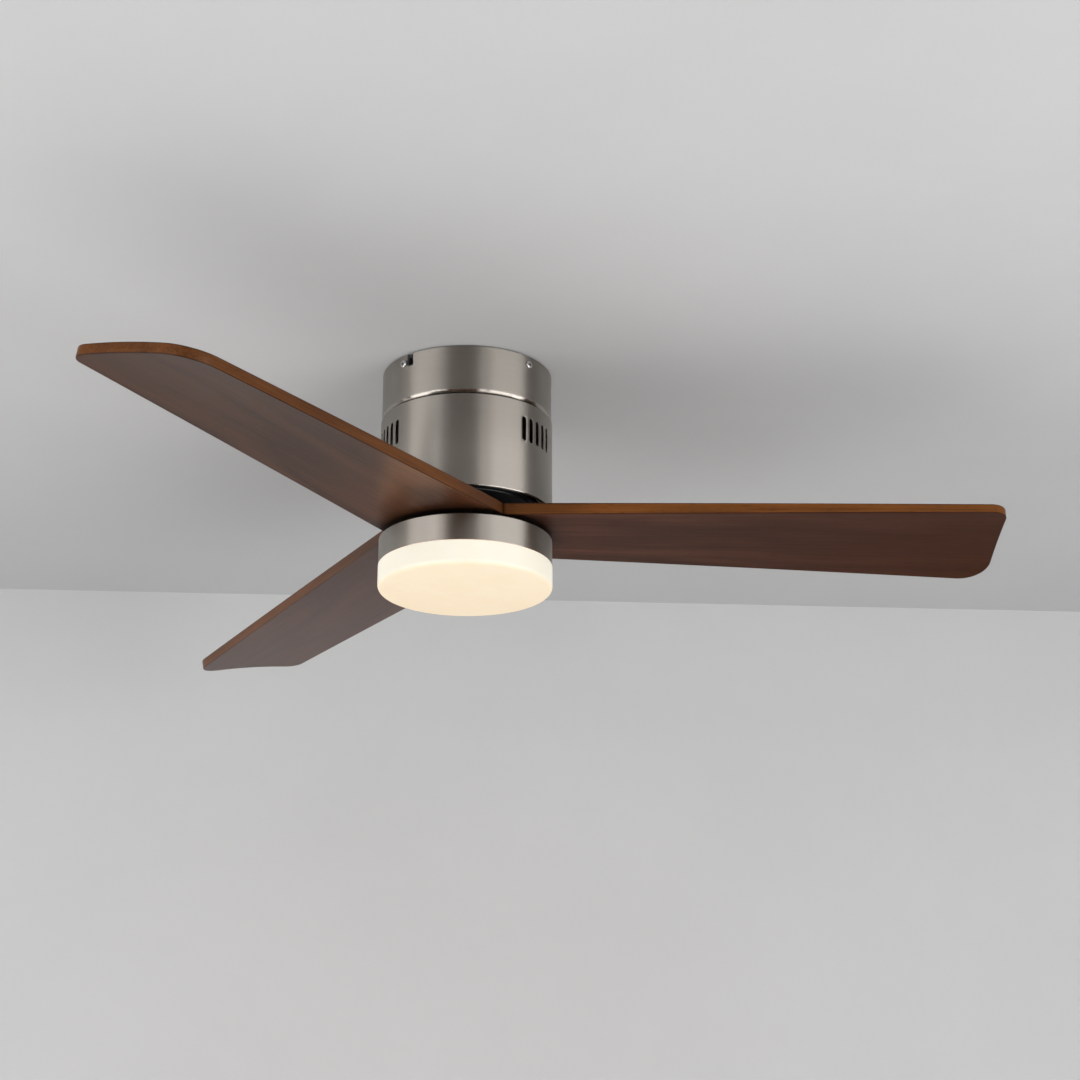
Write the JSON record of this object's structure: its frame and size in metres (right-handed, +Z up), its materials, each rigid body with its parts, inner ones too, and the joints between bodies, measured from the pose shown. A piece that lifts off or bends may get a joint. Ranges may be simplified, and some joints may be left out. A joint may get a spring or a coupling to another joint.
{
  "type": "ceiling fan with light",
  "caption": "Flush-mount ceiling fan with flat walnut blades that twist toward square tips, a brushed nickel drum housing and a round opal light.",
  "frame": {"origin": "centre of the bracket's upper face, on the ceiling and on the fan's axis", "axes": "+Z up along the fan axis; +X roughly along the first blade at rest; -Y the front"},
  "size_m": [1.0618, 1.2029, 0.2829],
  "materials": {
    "brushed_nickel": "circumferential brushing, satin lacquer",
    "bright_steel": "bright plated",
    "zinc_steel": "zinc plated",
    "ground_steel": "ground",
    "cage_brass": "stamped",
    "earth_green": "green lacquer",
    "cast_iron": "as cast, black",
    "cast_aluminium": "die cast",
    "lamination_steel": "stacked sheets",
    "copper_enamel": "enamelled wire",
    "white_plastic": "moulded",
    "black_plastic": "moulded, fine texture",
    "black_paint": "semi-gloss black",
    "walnut": "dark walnut, satin lacquer",
    "red_fibre": "vulcanised fibre",
    "board_white": "white solder mask",
    "led_phosphor": "phosphor",
    "opal_acrylic": "opal, satin outside",
    "grey_sheath": "smooth sheath"
  },
  "bodies": {
    "base": {"bearing_spacers": "zinc_steel", "board_connector": "white_plastic", "board_screws": "zinc_steel", "board_standoffs": "zinc_steel", "canopy": "brushed_nickel", "canopy_screws": "bright_steel", "ceiling_bracket": "zinc_steel", "diffuser_lock_ring": "zinc_steel", "earth_screw": "earth_green", "hanger_plate": "zinc_steel", "hanger_screws": "zinc_steel", "hanger_washers": "zinc_steel", "hanger_yoke": "cast_iron", "led_board": "board_white", "led_chips": "led_phosphor", "led_driver": "white_plastic", "light_housing": "brushed_nickel", "light_jam_nut": "zinc_steel", "light_lead": "grey_sheath", "light_nut": "zinc_steel", "light_support_plate": "zinc_steel", "light_washer": "zinc_steel", "lower_bearing_inner_ring": "ground_steel", "lower_insulator": "white_plastic", "motor_housing": "brushed_nickel", "motor_shaft": "ground_steel", "receiver_case": "black_plastic", "retaining_rings": "zinc_steel", "shaft_bolts": "zinc_steel", "stator_core": "lamination_steel", "stator_hub": "cast_aluminium", "stator_windings": "copper_enamel", "support_screws": "zinc_steel", "terminal_block": "white_plastic", "upper_bearing_inner_ring": "ground_steel", "upper_insulator": "white_plastic"},
    "rotor": {"rotor_upper_bell": "cast_aluminium", "rotor_lower_bell": "black_paint", "rotor_core": "lamination_steel", "rotor_bars": "cast_aluminium", "rotor_screws": "zinc_steel", "blade_carrier": "black_paint", "carrier_screws": "zinc_steel", "blade_1": "walnut", "blade_2": "walnut", "blade_3": "walnut", "blade_washers": "red_fibre", "blade_screws": "zinc_steel", "upper_bearing_outer_ring": "ground_steel", "lower_bearing_outer_ring": "ground_steel"},
    "upper_cage": {"upper_bearing_balls": "ground_steel", "upper_bearing_cage": "cage_brass"},
    "lower_cage": {"lower_bearing_balls": "ground_steel", "lower_bearing_cage": "cage_brass"},
    "diffuser": {"diffuser": "opal_acrylic"}
  },
  "joints": [
    {"name": "rotor_spin", "type": "hinge", "parent": "base", "child": "rotor", "pos_m": [0, 0, -0.14], "axis": [0, 0, 1], "continuous": true},
    {"name": "upper_cage_spin", "type": "hinge", "parent": "base", "child": "upper_cage", "pos_m": [0, 0, -0.114], "axis": [0, 0, 1], "continuous": true},
    {"name": "lower_cage_spin", "type": "hinge", "parent": "base", "child": "lower_cage", "pos_m": [0, 0, -0.166], "axis": [0, 0, 1], "continuous": true},
    {"name": "diffuser_twist", "type": "hinge", "parent": "base", "child": "diffuser", "pos_m": [0, 0, -0.26], "axis": [0, 0, -1], "range_deg": [0, 20]}
  ],
  "couplings": [
    {"joint": "upper_cage_spin", "follows": "rotor_spin", "ratio": 0.618},
    {"joint": "lower_cage_spin", "follows": "rotor_spin", "ratio": 0.618}
  ]
}
